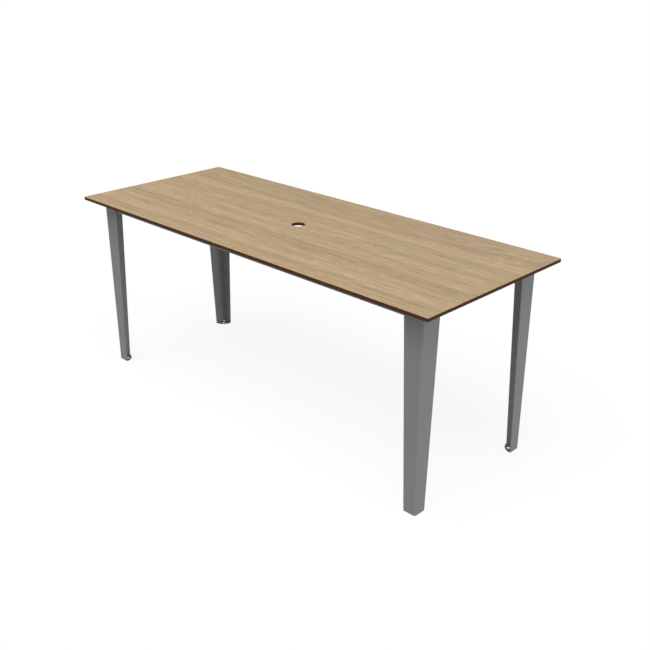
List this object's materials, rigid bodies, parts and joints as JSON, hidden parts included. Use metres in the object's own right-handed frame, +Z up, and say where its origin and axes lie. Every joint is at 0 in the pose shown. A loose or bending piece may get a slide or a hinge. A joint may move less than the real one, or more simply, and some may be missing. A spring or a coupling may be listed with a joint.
{
  "type": "garden table",
  "caption": "Rectangular outdoor table: thin compact laminate top with a central umbrella hole, on tapered legs of folded steel sheet and a hidden frame of square tube.",
  "frame": {"origin": "on the floor under the middle of the top", "axes": "+X along the table's length, +Y across it, +Z up"},
  "size_m": [1.807, 0.7154, 0.7392],
  "materials": {
    "laminate": "satin",
    "powder_coat": "satin",
    "stainless": "satin",
    "brass": "satin"
  },
  "bodies": {
    "root": {"tabletop": "laminate", "leg_front_left": "powder_coat", "leg_front_right": "powder_coat", "leg_rear_left": "powder_coat", "leg_rear_right": "powder_coat", "foot_plate_front_left": "powder_coat", "foot_plate_front_right": "powder_coat", "foot_plate_rear_left": "powder_coat", "foot_plate_rear_right": "powder_coat", "head_plate_front_left": "powder_coat", "head_plate_front_right": "powder_coat", "head_plate_rear_left": "powder_coat", "head_plate_rear_right": "powder_coat", "rail_front": "powder_coat", "rail_rear": "powder_coat", "rail_left": "powder_coat", "rail_right": "powder_coat", "top_tabs": "powder_coat", "top_inserts": "brass", "top_screws": "stainless", "top_washers": "stainless", "leg_bolts": "stainless", "leg_bolt_washers": "stainless", "leg_bolt_bushes": "stainless"}
  },
  "joints": []
}
